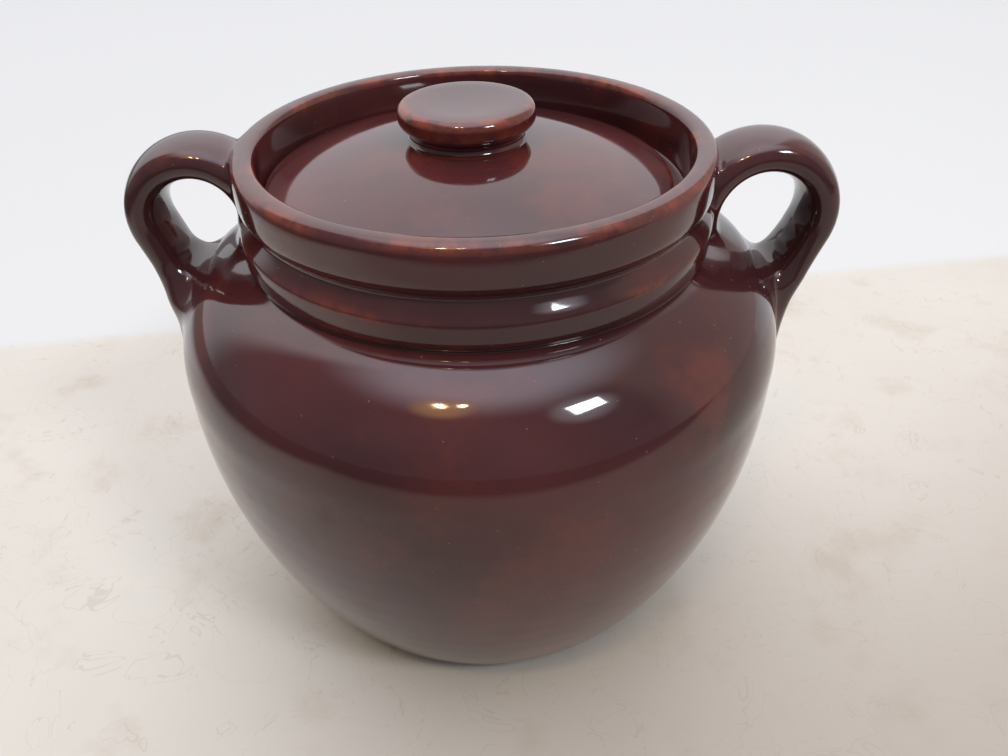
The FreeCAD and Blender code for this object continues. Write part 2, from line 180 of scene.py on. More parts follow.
def body_outline():
    """Outer outline of the pot, from the table up, its inner one, from the rim down, and its main levels."""
    curve_centre = BELLY_RADIUS - BELLY_CURVE
    reach = BELLY_CURVE - BASE_CURVE
    base_centre = curve_centre + leg(reach, BELLY_HEIGHT - BASE_CURVE)
    grow = BELLY_CURVE / reach
    base_end = (curve_centre + (base_centre - curve_centre) * grow,
                BELLY_HEIGHT - (BELLY_HEIGHT - BASE_CURVE) * grow)
    belly_top = BELLY_HEIGHT + BELLY_BAND
    lip_radius = BORE_RADIUS + LIP_THICKNESS
    groove_radius = lip_radius - GROOVE_DEPTH
    ring_radius = lip_radius + RING_STAND
    neck_radius = ring_radius - RING_OVERHANG
    shoulder_centre = BELLY_RADIUS - SHOULDER_CURVE
    neck = belly_top + leg(SHOULDER_CURVE, neck_radius - shoulder_centre)
    ring_low = neck + leg(RING_UNDER_CURVE, RING_UNDER_CURVE - RING_OVERHANG)
    ring_side = ring_low + RING_BAND
    ring_top = ring_side + RING_TOP_ROUND
    groove = ring_top + RING_SLOPE
    lip_low = groove + leg(LIP_UNDER_CURVE, LIP_UNDER_CURVE - GROOVE_DEPTH)
    rim = lip_low + LIP_BAND
    ledge = rim - LEDGE_DEPTH
    outer = [
        ((0, 0),),
        ((base_centre, 0),),
        (base_end, BASE_CURVE, 1),
        ((BELLY_RADIUS, BELLY_HEIGHT), BELLY_CURVE, 1),
        ((BELLY_RADIUS, belly_top),),
        ((neck_radius, neck), SHOULDER_CURVE, 1),
        ((ring_radius, ring_low), RING_UNDER_CURVE, 1),
        ((ring_radius, ring_side),),
        ((ring_radius - RING_TOP_ROUND, ring_top), RING_TOP_ROUND, 1),
        ((groove_radius, groove),),
        ((lip_radius, lip_low), LIP_UNDER_CURVE, 1),
        ((lip_radius, rim - LIP_OUTER_ROUND),),
        ((lip_radius - LIP_OUTER_ROUND, rim), LIP_OUTER_ROUND, 1),
    ]
    throat = BORE_RADIUS - LEDGE_WIDTH
    hollow_top = belly_top + SHOULDER_CURVE - WALL
    inner_curve = BELLY_CURVE - WALL
    inner_reach = inner_curve - FLOOR_CURVE
    corner = FLOOR_THICKNESS + FLOOR_CURVE
    corner_centre = curve_centre + leg(inner_reach, BELLY_HEIGHT - corner)
    inner_grow = inner_curve / inner_reach
    corner_end = (curve_centre + (corner_centre - curve_centre) * inner_grow,
                  BELLY_HEIGHT - (BELLY_HEIGHT - corner) * inner_grow)
    inner = [
        ((BORE_RADIUS + LIP_INNER_ROUND, rim),),
        ((BORE_RADIUS, rim - LIP_INNER_ROUND), LIP_INNER_ROUND, 1),
        ((BORE_RADIUS, ledge),),
        ((throat, ledge),),
        ((throat, hollow_top + THROAT_ROUND),),
        ((throat + THROAT_ROUND, hollow_top), THROAT_ROUND, 1),
        ((shoulder_centre, hollow_top),),
        ((BELLY_RADIUS - WALL, belly_top), SHOULDER_CURVE - WALL, -1),
        ((BELLY_RADIUS - WALL, BELLY_HEIGHT),),
        (corner_end, inner_curve, -1),
        ((corner_centre, FLOOR_THICKNESS), FLOOR_CURVE, -1),
        ((0, FLOOR_THICKNESS),),
    ]
    return outer, inner, dict(neck=neck, rim=rim, ledge=ledge, lip_radius=lip_radius, throat=throat)


OUTER, INNER, LEVEL = body_outline()
OUTER_COUNT = len(trace(OUTER))


def pot_line():
    """The pot's outline under its glaze, which rounds the lip more than the rest."""
    sharp = even(trace(OUTER + INNER), FINE_STEP)
    below_rim = LEVEL["rim"] - sharp[:, 1]
    outside = np.arange(len(sharp)) < OUTER_COUNT
    share = np.where(outside, step_between(*LIP_OUTSIDE, below_rim), step_between(*LIP_INSIDE, below_rim))
    share = share[:, None]
    return soften(sharp, GLAZE_SOFTNESS) * (1 - share) + soften(sharp, LIP_SOFTNESS) * share


POT_LINE = pot_line()


def waviness(angle, height):
    """How far the hand-finished wall lies inside its true radius, in millimetres, never outside it.

    The numbers in the sines set how often the wall varies and where.
    """
    rings = np.sin(height * 0.83 + 0.6 * np.sin(angle * 2 + 1.3)) * WAVE_RINGS
    drift = 1.1 * np.sin(angle + 2.0)
    lumps = (np.sin(angle * 3 + height * 0.045 + 0.4) * np.sin(height * 0.071 + drift) * WAVE_LUMPS
             + np.sin(angle * 7 - height * 0.11) * WAVE_RIPPLES)
    return WAVE_DEPTH + rings + lumps


# Meshes


def make_mesh(name, points, faces, attributes, normals=None):
    mesh = bpy.data.meshes.new(name)
    mesh.from_pydata((np.asarray(points) * MM).tolist(), [], faces)
    for key, values in attributes.items():
        layer = mesh.attributes.new(key, "FLOAT", "POINT")
        layer.data.foreach_set("value", np.asarray(values, np.float32))
    mesh.polygons.foreach_set("use_smooth", [True] * len(mesh.polygons))
    mesh.validate()
    mesh.update()
    if normals is not None:
        mesh.normals_split_custom_set_from_vertices(normals.tolist())
    piece = bpy.data.objects.new(name, mesh)
    bpy.context.scene.collection.objects.link(piece)
    return piece


def lathe(name, line, attributes, wave=None, shift=0.0):
    """Turn an outline that starts and ends on the axis into a closed skin."""
    angles = np.arange(SEGMENTS) * 2 * math.pi / SEGMENTS
    radius, height = line[1:-1, 0][:, None], line[1:-1, 1][:, None]
    turned = radius - (wave(angles[None, :], height) if wave else 0.0) * np.clip(radius / WAVE_FADE, 0, 1)
    x, y = turned * np.cos(angles) + shift, turned * np.sin(angles)
    z = np.broadcast_to(height, x.shape)
    rows = len(line) - 2
    points = np.concatenate([np.stack([x, y, z], -1).reshape(-1, 3),
                             [[shift, 0, line[0, 1]], [shift, 0, line[-1, 1]]]])
    first, last = rows * SEGMENTS, rows * SEGMENTS + 1
    here = np.arange(SEGMENTS)
    after = (here + 1) % SEGMENTS
    faces = []
    for row in range(rows - 1):
        low, high = row * SEGMENTS, (row + 1) * SEGMENTS
        faces += np.stack([low + here, low + after, high + after, high + here], 1).tolist()
    top = (rows - 1) * SEGMENTS
    faces += np.stack([after, here, np.full(SEGMENTS, first)], 1).tolist()
    faces += np.stack([top + here, top + after, np.full(SEGMENTS, last)], 1).tolist()
    spread = {key: np.concatenate([np.repeat(v[1:-1], SEGMENTS), [v[0], v[-1]]])
              for key, v in attributes.items()}
    return make_mesh(name, points, faces, spread)


def turn_skin(name, line, bare, reach=BEND_REACH, **shape):
    """Turn a softened outline into a skin, with rust where it is sharply convex."""
    breaks = step_between(*BREAK_BENDS, bend_of(line, reach))
    line, (breaks, bare) = thin_out(line, [breaks, bare])
    return lathe(name, line, {"break": breaks, "bare": bare}, **shape)


# Handles: the strap is blended into the body as a field of distances, then meshed

# Reach of the blend, in millimetres, at the tail, in the crotch over it and at the neck, and the heights from
# the neck between which one passes into the next
BLEND_TAIL, BLEND_CROTCH, BLEND_NECK = 9.0, 17.0, 4.5
CROTCH_HEIGHTS, NECK_HEIGHTS = (-24, -15), (-8, 2)
# Depth of the blended skin under the body's where it ends, and of its closed back inside the wall
SKIN_SINK, SINK_DEPTH = 0.012, 1.2
# The grid's step, the number of its steps in a coarse one, and its margins round the path
GRID_STEP, COARSE = 0.5, 4
GRID_INWARD, GRID_BELOW, GRID_ABOVE, GRID_ASIDE = 12, 3, 1, 3
# Coarse cells within this share of their size from the surface are worked out finely
CLOSE_SHARE = 1.3
# Rounds of smoothing, how much of the way each goes, and the corrections back to the surface after each
SMOOTHINGS, SMOOTHING_SHARE, CORRECTIONS = 2, 0.5, 2
FLATTEST_SLOPE = 0.05
# Where points are free to move, and where the surface shows, in millimetres: distance from the surface, past
# the blend's reach and from the body
FREE_PAST, FREE_DEPTH = -0.3, -0.9
SHOWN_NEAR, SHOWN_PAST, SHOWN_DEPTH = 0.1, -0.6, -0.6


class Path:
    """The strap's centre line in its own upright plane, made of tangent lines and arcs."""

    def __init__(self, side, inset, stand, drop, knee_rise, knee_share, sink):
        self.side = side
        inner = LEVEL["lip_radius"] - inset
        outer = BELLY_RADIUS + stand
        bend, reach, height = (outer - inner) / 2, (outer + inner) / 2, LEVEL["rim"] - drop
        lean_in = math.radians(ROOT_LEAN)
        rise = np.array([reach - bend * math.cos(lean_in), height - bend * math.sin(lean_in)])
        root_height = LEVEL["neck"] - ROOT_DEPTH
        start = np.array([rise[0] + (rise[1] - root_height) * math.tan(lean_in), root_height])
        knee = np.array([BELLY_RADIUS - sink, BELLY_HEIGHT + knee_rise])
        across, down = knee[0] - reach, height - knee[1]
        apart = across * across + down * down
        tangent = math.sqrt(apart - bend * bend)
        cosine = (bend * across + tangent * down) / apart
        sine = (bend * down - tangent * across) / apart
        lean = math.atan2(sine, cosine)
        over = np.array([reach + bend * cosine, height - bend * sine])
        knee_reach = tangent * knee_share
        run_end = knee + knee_reach * np.array([sine, cosine])
        tail = knee - np.array([0, knee_reach])
        tail_bend = knee_reach * (1 + cosine) / sine
        end = tail - np.array([0, TOE])
        self.parts = []
        self.length = 0.0
        self.add_line(start, rise)
        self.add_arc(np.array([reach, height]), bend, math.pi + lean_in, math.pi / 2)
        top = self.length
        self.add_arc(np.array([reach, height]), bend, math.pi / 2, -lean)
        bent = self.length
        self.add_line(over, run_end)
        self.add_arc(tail + np.array([tail_bend, 0]), tail_bend, math.pi - lean, math.pi)
        tailed = self.length
        self.add_line(tail, end)
        self.stations = [0, top, bent, tailed, self.length]
        self.low = np.array([inner - GRID_INWARD, end[1] - BLEND_TAIL - GRID_BELOW])
        self.high = np.array([outer, height + bend]) + STRAP_SECTIONS["root"][1] + GRID_ABOVE

    def add_line(self, start, end):
        self.parts.append(("line", start, end, self.length))
        self.length += np.linalg.norm(end - start)

    def add_arc(self, centre, radius, first, last):
        self.parts.append(("arc", centre, radius, first, last, self.length))
        self.length += radius * abs(last - first)

    def nearest(self, x, z):
        """Distance to the path in its plane, and how far along the path the nearest point lies."""
        best, place = np.full(np.shape(x), np.inf), np.zeros(np.shape(x))
        for part in self.parts:
            if part[0] == "line":
                start, end, before = part[1:]
                span = np.linalg.norm(end - start)
                ahead = (end - start) / span
                along = np.clip((x - start[0]) * ahead[0] + (z - start[1]) * ahead[1], 0, span)
                away = np.hypot(x - start[0] - along * ahead[0], z - start[1] - along * ahead[1])
                here = before + along
            else:
                centre, radius, first, last, before = part[1:]
                angle = np.arctan2(z - centre[1], x - centre[0])
                middle = (first + last) / 2
                angle = middle + (angle - middle + math.pi) % (2 * math.pi) - math.pi
                angle = np.clip(angle, min(first, last), max(first, last))
                on_x, on_z = radius * np.cos(angle), radius * np.sin(angle)
                away = np.hypot(x - centre[0] - on_x, z - centre[1] - on_z)
                here = before + radius * np.abs(angle - first)
            closer = away < best
            best, place = np.where(closer, away, best), np.where(closer, here, place)
        return best, place

    def section(self, place):
        """Half width and half thickness of the strap at a place along it."""
        kinds = ["root", "bend", "bend", "tail", "toe"]
        width, thick = np.zeros(np.shape(place)), np.zeros(np.shape(place))
        for i in range(len(kinds) - 1):
            share = step_between(self.stations[i], self.stations[i + 1], place)
            inside = (place >= self.stations[i]) & (place <= self.stations[i + 1])
            for values, part in ((width, 0), (thick, 1)):
                a, b = STRAP_SECTIONS[kinds[i]][part], STRAP_SECTIONS[kinds[i + 1]][part]
                values[inside] = (a + (b - a) * share)[inside]
        return width, thick

    def distance(self, points):
        """Distance from points to the strap, negative inside it."""
        away, place = self.nearest(points[:, 0], points[:, 2])
        width, thick = self.section(place)
        side = np.abs(points[:, 1])
        edge = thick * EDGE_SHARE
        span = width - edge
        crown = (span * span + thick * thick - edge * edge) / (2 * (thick - edge))
        back = crown - thick
        on_crown = side * back < span * (away + back)
        return np.where(on_crown, np.hypot(away + back, side) - crown, np.hypot(away, side - span) - edge)


class BodyField:
    """Distance to the pot's outer surface near the handles, negative inside, kept in a table."""

    LOW, HIGH, STEP = np.array([50.0, 60.0]), np.array([112.0, 158.0]), 0.25

    def __init__(self, line):
        start, ahead = line[:-1], np.diff(line, axis=0)
        length = (ahead ** 2).sum(1)
        counts = np.round((self.HIGH - self.LOW) / self.STEP).astype(int) + 1
        r, z = np.meshgrid(*(self.LOW[i] + np.arange(counts[i]) * self.STEP for i in (0, 1)), indexing="ij")
        rows = []
        for places in zip(r, z):
            pr, pz = places[0][:, None], places[1][:, None]
            t = np.clip(((pr - start[:, 0]) * ahead[:, 0] + (pz - start[:, 1]) * ahead[:, 1]) / length, 0, 1)
            dr, dz = pr - start[:, 0] - t * ahead[:, 0], pz - start[:, 1] - t * ahead[:, 1]
            near = (dr * dr + dz * dz).argmin(1)
            row = np.arange(len(near))
            dr, dz = dr[row, near], dz[row, near]
            rows.append(np.hypot(dr, dz) * np.sign(dr * ahead[near, 1] - dz * ahead[near, 0]))
        self.table = np.array(rows)

    def distance(self, points):
        angle = np.arctan2(points[:, 1], points[:, 0])
        radius = np.hypot(points[:, 0], points[:, 1]) + waviness(angle, points[:, 2])
        place = (np.stack([radius, points[:, 2]], 1) - self.LOW) / self.STEP
        # A little less than the last cell's far side, so that the cell has a neighbour
        place = np.clip(place, 0, np.array(self.table.shape) - 1.001)
        cell = place.astype(int)
        u, v = (place - cell).T
        i, j = cell.T
        t = self.table
        return ((t[i, j] * (1 - u) + t[i + 1, j] * u) * (1 - v)
                + (t[i, j + 1] * (1 - u) + t[i + 1, j + 1] * u) * v)


# The outline from a height below the handles to a few points past the rim's crest
FIELD_START, FIELD_EXTRA = 55, 20
FIELD_LINE = POT_LINE[:OUTER_COUNT + FIELD_EXTRA]
BODY_FIELD = BodyField(FIELD_LINE[FIELD_LINE[:, 1] > FIELD_START])


def blended(path, points):
    """Distances to the strap run smoothly into the body, past the reach of that blend, and to the body."""
    strap = path.distance(points)
    body = BODY_FIELD.distance(points)
    height = points[:, 2] - LEVEL["neck"]
    reach = BLEND_TAIL + (BLEND_CROTCH - BLEND_TAIL) * step_between(*CROTCH_HEIGHTS, height)
    reach += (BLEND_NECK - reach) * step_between(*NECK_HEIGHTS, height)
    sunk = body + SKIN_SINK
    share = np.clip(1 - np.abs(strap - sunk) / reach, 0, None)
    return np.minimum(strap, sunk) - share ** 3 * reach / 6, strap - sunk - reach, body


def summed(index, values, count):
    """The sum of each column of the values that share an index."""
    return np.stack([np.bincount(index, values[:, i], count) for i in range(values.shape[1])], 1)


def surface_net(values, origin, step):
    """Quads round the zero level of a grid of values, one vertex to a cell."""
    shape = np.array(values.shape) - 1
    places, quads = [], []
    for axis in range(3):
        low, high = [slice(None)] * 3, [slice(None)] * 3
        low[axis], high[axis] = slice(0, -1), slice(1, None)
        a, b = values[tuple(low)], values[tuple(high)]
        crossing = (a < 0) != (b < 0)
        edge = np.argwhere(crossing)
        where = edge.astype(float)
        where[:, axis] += a[crossing] / (a[crossing] - b[crossing])
        others = [other for other in range(3) if other != axis]
        cells = []
        for da, db in ((-1, -1), (0, -1), (0, 0), (-1, 0)):
            cell = edge.copy()
            cell[:, others[0]] += da
            cell[:, others[1]] += db
            cells.append(np.ravel_multi_index(cell.T, shape))
        loop = np.stack(cells, 1)
        flip = (a[crossing] < 0) == (axis == 1)
        loop[flip] = loop[flip][:, ::-1]
        quads.append(loop)
        places += [(cell, where) for cell in cells]
    quads = np.concatenate(quads)
    used, quads = np.unique(quads, return_inverse=True)
    index = np.searchsorted(used, np.concatenate([cell for cell, _ in places]))
    where = np.concatenate([place for _, place in places])
    number = np.bincount(index, minlength=len(used))
    return origin + summed(index, where, len(used)) / number[:, None] * step, quads.reshape(-1, 4)


def slope(function, points, reach=0.05):
    """The direction in which a field grows fastest at each point, by how much it grows a millimetre."""
    made = np.empty((len(points), 3))
    for axis in range(3):
        shift = np.zeros(3)
        shift[axis] = reach
        made[:, axis] = (function(points + shift) - function(points - shift)) / (2 * reach)
    return made


def neighbour_mean(points, quads):
    """The mean place of each point's neighbours along the quads' edges."""
    ends = np.concatenate([quads[:, i] for i in range(4)])
    others = np.concatenate([quads[:, (i + 1) % 4] for i in range(4)])
    both, mates = np.concatenate([ends, others]), np.concatenate([others, ends])
    return summed(both, points[mates], len(points)) / np.bincount(both, minlength=len(points))[:, None]


def rough_skin(path):
    """Points and quads of the blended skin, closed inside the pot's wall, from a grid of distances."""
    half_width = STRAP_SECTIONS["root"][0] + BLEND_CROTCH + GRID_ASIDE
    start = np.array([path.low[0], -half_width, path.low[1]])
    end = np.array([path.high[0], half_width, path.high[1]])
    counts = COARSE * np.ceil((end - start) / GRID_STEP / COARSE).astype(int) + 1
    lines = [start[i] + np.arange(counts[i]) * GRID_STEP for i in range(3)]
    grid = np.stack(np.meshgrid(*lines, indexing="ij"), -1)

    def closed(p):
        surface, past, body = blended(path, p)
        return np.maximum(np.maximum(surface, past), -(body + SINK_DEPTH))

    values = closed(grid[::COARSE, ::COARSE, ::COARSE].reshape(-1, 3)).reshape((counts - 1) // COARSE + 1)
    for axis in range(3):
        values = np.repeat(values, COARSE, axis=axis)
    half = COARSE // 2
    values = values[half:, half:, half:][:counts[0], :counts[1], :counts[2]]
    close = np.abs(values) < COARSE * GRID_STEP * CLOSE_SHARE
    values[close] = closed(grid[close])
    return surface_net(values, start, GRID_STEP)


def field_bend(skin, points, reach):
    """How sharply a field of distances bends at each point, positive where its surface is convex."""
    around = -6 * skin(points)
    for axis in range(3):
        shift = np.zeros(3)
        shift[axis] = reach
        around += skin(points + shift) + skin(points - shift)
    return around / reach ** 2


def make_handle(node):
    path = Path(**HANDLES[node])
    points, quads = rough_skin(path)

    def skin(p):
        return blended(path, p)[0]

    for _ in range(SMOOTHINGS):
        surface, past, body = blended(path, points)
        free = (np.abs(surface) < GRID_STEP) & (past < FREE_PAST) & (body > FREE_DEPTH)
        points[free] += SMOOTHING_SHARE * (neighbour_mean(points, quads) - points)[free]
        for _ in range(CORRECTIONS):
            lean = slope(skin, points[free])
            value = skin(points[free])
            points[free] -= (value / np.maximum((lean ** 2).sum(1), FLATTEST_SLOPE))[:, None] * lean
    bend = field_bend(skin, points, HANDLE_BEND_REACH)
    surface, past, body = blended(path, points)
    shown = (np.abs(surface) < SHOWN_NEAR) & (past < SHOWN_PAST) & (body > SHOWN_DEPTH)
    # A normal of zero leaves the hidden part with Blender's own
    normals = slope(skin, points)
    normals *= (shown / np.linalg.norm(normals, axis=1))[:, None]
    if path.side < 0:
        half_turn = np.array([-1, -1, 1])
        points, normals = points * half_turn, normals * half_turn
    return make_mesh(node + "_skin", points, quads.tolist(), {
        "break": HANDLE_BREAK * step_between(*HANDLE_BREAK_BENDS, bend),
        "bare": np.zeros(len(points)),
    }, normals)


# The pot, the lid and the knob


def make_pot_body():
    radius, height = POT_LINE.T
    inside = np.arange(len(POT_LINE)) > OUTER_COUNT
    foot = (height < BARE_FOOT) & ~inside
    level = np.abs(height - LEVEL["ledge"]) < BARE_LEDGE
    over = (radius > LEVEL["throat"] + LEDGE_START) & (radius < LEVEL["throat"] + LEDGE_END)
    bare = np.where(foot | (inside & level & over), 1.0, 0.0)
    return turn_skin("pot_body_skin", POT_LINE, bare, wave=waviness)


def dome_centre():
    """Height of the centre of the lid's dome."""
    return LEVEL["ledge"] + LID_EDGE_ROUND - leg(LID_DOME - LID_EDGE_ROUND, LID_RADIUS - LID_EDGE_ROUND)


def make_lid():
    radius = LID_RADIUS
    seat, edge = LEVEL["ledge"], LID_EDGE_ROUND
    centre = dome_centre()
    grow = LID_DOME / (LID_DOME - edge)
    edge_top = ((radius - edge) * grow, centre + (seat + edge - centre) * grow)
    seat_inside = radius - edge - LID_SEAT_WIDTH
    hollow_top = centre + LID_DOME - LID_WALL
    rise = hollow_top - seat
    hollow_curve = (seat_inside ** 2 + rise ** 2) / (2 * rise)
    steps = [
        ((0, hollow_top),),
        ((seat_inside, seat), hollow_curve, -1),
        ((radius - edge, seat),),
        ((radius, seat + edge), edge, 1),
        (edge_top, edge, 1),
        ((0, centre + LID_DOME), LID_DOME, 1),
    ]
    line = soften(even(trace(steps), FINE_STEP), GLAZE_SOFTNESS)
    bare = np.where((line[:, 1] < seat + BARE_SEAT) & (line[:, 0] > seat_inside - SEAT_INWARD), 1.0, 0.0)
    return turn_skin("lid_skin", line, bare, shift=LID_SHIFT)


def make_knob():
    foot = KNOB_WAIST_RADIUS + KNOB_FLARE
    foot_height = dome_centre() + leg(LID_DOME, foot)
    top = foot_height + KNOB_HEIGHT
    side_high = top - KNOB_TOP_ROUND
    side_low = side_high - KNOB_SIDE
    under = KNOB_RADIUS - KNOB_WAIST_RADIUS
    dish_curve = (KNOB_DISH_RADIUS ** 2 + KNOB_DISH_DEPTH ** 2) / (2 * KNOB_DISH_DEPTH)
    steps = [
        ((0, foot_height - KNOB_SINK),),
        ((foot, foot_height - KNOB_SINK),),
        ((foot, foot_height - FLARE_SINK),),
        ((KNOB_WAIST_RADIUS, foot_height + KNOB_FLARE), KNOB_FLARE, -1),
        ((KNOB_WAIST_RADIUS, foot_height + KNOB_WAIST_HEIGHT),),
        ((KNOB_RADIUS, side_low), KNOB_UNDER_CURVE + under, 1),
        ((KNOB_RADIUS, side_high),),
        ((KNOB_RADIUS - KNOB_TOP_ROUND, top), KNOB_TOP_ROUND, 1),
        ((KNOB_DISH_RADIUS, top),),
        ((0, top - KNOB_DISH_DEPTH), dish_curve, -1),
    ]
    line = soften(even(trace(steps), FINE_STEP), KNOB_SOFTNESS)
    return turn_skin("lid_knob_skin", line, np.zeros(len(line)), KNOB_BEND_REACH, shift=LID_SHIFT)


# Materials


class Nodes:
    """Short names for making the nodes of a material or a world, given as its owner."""

    def __init__(self, owner):
        self.owner = owner
        owner.use_nodes = True
        self.tree = owner.node_tree
        self.tree.nodes.clear()

    def add(self, kind, **settings):
        node = self.tree.nodes.new(kind)
        inputs = settings.pop("inputs", {})
        for key, value in settings.items():
            setattr(node, key, value)
        for key, value in inputs.items():
            if isinstance(value, bpy.types.NodeSocket):
                self.tree.links.new(value, node.inputs[key])
            else:
                node.inputs[key].default_value = value
        return node

    def noise(self, where, scale, detail=2.0, rough=0.5):
        return self.add("ShaderNodeTexNoise", inputs={
            "Vector": where, "Scale": scale, "Detail": detail, "Roughness": rough,
        }).outputs["Fac"]

    def ramp(self, value, low, high, out_low=0.0, out_high=1.0):
        return self.add("ShaderNodeMapRange", interpolation_type="SMOOTHSTEP", inputs={
            "Value": value, "From Min": low, "From Max": high, "To Min": out_low, "To Max": out_high,
        }).outputs["Result"]

    def maths(self, operation, a, b=0.0):
        return self.add("ShaderNodeMath", operation=operation, inputs={0: a, 1: b}).outputs[0]

    def mix(self, share, a, b):
        """Two colours mixed. The mix node's inputs 6 and 7 and its output 2 are its colours."""
        node = self.add("ShaderNodeMix", data_type="RGBA", inputs={0: share})
        for socket, value in ((node.inputs[6], a), (node.inputs[7], b)):
            if isinstance(value, bpy.types.NodeSocket):
                self.tree.links.new(value, socket)
            else:
                socket.default_value = (*value, 1.0)
        return node.outputs[2]


# Colours of the glaze and the clay
POOL_DARK, POOL_LIGHT, MAROON = (0.044, 0.0140, 0.0155), (0.082, 0.0205, 0.0220), (0.140, 0.029, 0.020)
RUST, SPECK_COLOUR = (0.27, 0.056, 0.026), (0.30, 0.16, 0.10)
CLAY_DARK, CLAY_PALE = (0.36, 0.235, 0.14), (0.52, 0.37, 0.24)
SPECKS_A_METRE = 430.0
# The glaze's roughness where it is clearest and haziest, and what bare clay adds to it
GLOSS_CLEAR, GLOSS_HAZY, CLAY_ROUGH = 0.055, 0.10, 0.6
GLAZE_IOR = 1.6
BUMP_STRENGTH, BUMP_HEIGHT = 0.35, 0.00012


def glaze_material():
    n = Nodes(bpy.data.materials.new("brown_glaze"))
    where = n.add("ShaderNodeTexCoord").outputs["Object"]
    broken = n.add("ShaderNodeAttribute", attribute_name="break").outputs["Fac"]
    bare = n.add("ShaderNodeAttribute", attribute_name="bare").outputs["Fac"]

    # Colour: dark pools, maroon mottling, and rust where the glaze runs thin over an edge
    mottle = n.noise(where, 38.0, 4.0, 0.6)
    cloud = n.noise(where, 14.0, 2.0)
    fray = n.noise(where, 190.0, 4.0, 0.6)
    body = n.mix(n.ramp(cloud, 0.35, 0.65), POOL_DARK, POOL_LIGHT)
    body = n.mix(n.maths("MULTIPLY", n.ramp(mottle, 0.48, 0.72), 0.55), body, MAROON)
    edge = n.maths("MULTIPLY", broken, n.ramp(fray, 0.34, 0.60, 0.10, 1.0))
    edge = n.maths("MULTIPLY", edge, n.ramp(mottle, 0.40, 0.60, 0.10, 1.0))
    colour = n.mix(edge, body, RUST)

    # Mineral specks
    cells = n.add("ShaderNodeTexVoronoi", feature="F1", inputs={
        "Vector": where, "Scale": SPECKS_A_METRE, "Randomness": 1.0,
    })
    lot = n.add("ShaderNodeSeparateColor", inputs={0: cells.outputs["Color"]}).outputs[0]
    chosen = n.ramp(lot, 0.80, 0.82)
    speck = n.maths("MULTIPLY", n.ramp(cells.outputs["Distance"], 0.10, 0.05), chosen)
    colour = n.mix(n.maths("MULTIPLY", speck, 0.65), colour, SPECK_COLOUR)

    clay_grain = n.noise(where, 900.0, 3.0, 0.7)
    clay = n.mix(clay_grain, CLAY_DARK, CLAY_PALE)
    colour = n.mix(bare, colour, clay)

    # Gloss and relief
    haze = n.noise(where, 60.0, 3.0)
    gloss = n.ramp(haze, 0.35, 0.75, GLOSS_CLEAR, GLOSS_HAZY)
    rough = n.maths("ADD", gloss, n.maths("MULTIPLY", bare, CLAY_ROUGH))
    peel = n.noise(where, 210.0, 2.0, 0.4)
    ripple = n.noise(where, 70.0, 1.0, 0.4)
    relief = n.maths("ADD", n.maths("MULTIPLY", peel, 0.25), n.maths("MULTIPLY", ripple, 0.9))
    relief = n.maths("SUBTRACT", relief, n.maths("MULTIPLY", speck, 0.5))
    relief = n.maths("ADD", relief, n.maths("MULTIPLY", n.maths("MULTIPLY", clay_grain, bare), 1.4))
    bump = n.add("ShaderNodeBump", inputs={
        "Strength": BUMP_STRENGTH, "Distance": BUMP_HEIGHT, "Height": relief,
    })
    shader = n.add("ShaderNodeBsdfPrincipled", inputs={
        "Base Color": colour, "Roughness": rough, "Normal": bump.outputs[0], "IOR": GLAZE_IOR,
    })
    n.add("ShaderNodeOutputMaterial", inputs={0: shader.outputs[0]})
    return n.owner


# Pieces

glaze = glaze_material()
PIECES = (
    (make_pot_body, (), "pot", "pot_body"),
    (make_handle, ("handle_right",), "pot", "handle_right"),
    (make_handle, ("handle_left",), "pot", "handle_left"),
    (make_lid, (), "lid", "lid"),
    (make_knob, (), "lid", "lid_knob"),
)
for maker, given, body, node in PIECES:
    piece = maker(*given)
    piece.data.materials.append(glaze)
    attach(piece, body)
    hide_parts(node)


# Stage: a pale table, a pale wall behind, a window, three small bulbs and a dim room

# Colours of the table: its cream from grain to grain, its stains and scratches, past its edge, the painted
# shade over its near part, and unlit
CREAM_DARK, CREAM_PALE = (0.60, 0.57, 0.50), (0.67, 0.645, 0.585)
STAIN, SCRATCH = (0.48, 0.41, 0.30), (0.42, 0.34, 0.26)
FAR_GROUND, PAINTED_NEAR_SHADE, UNLIT = (0.655, 0.675, 0.665), (0.34, 0.30, 0.25), (0.07, 0.06, 0.06)
# How the table's far edge and the painted shade over its near part run: metres back for each metre across
EDGE_SLANT, NEAR_SHADE_SLANT = -0.108, -0.5
# Where the far edge, the painted shade over the near part and the unlit front and left sides set in and are
# full, in metres
FAR_EDGE, NEAR_SHADE_SPAN = (0.154, 0.166), (0.02, -0.20)
UNLIT_FRONT, UNLIT_LEFT = (-0.30, -0.48), (-0.34, -0.60)
FLOOR_HALF = 6.0


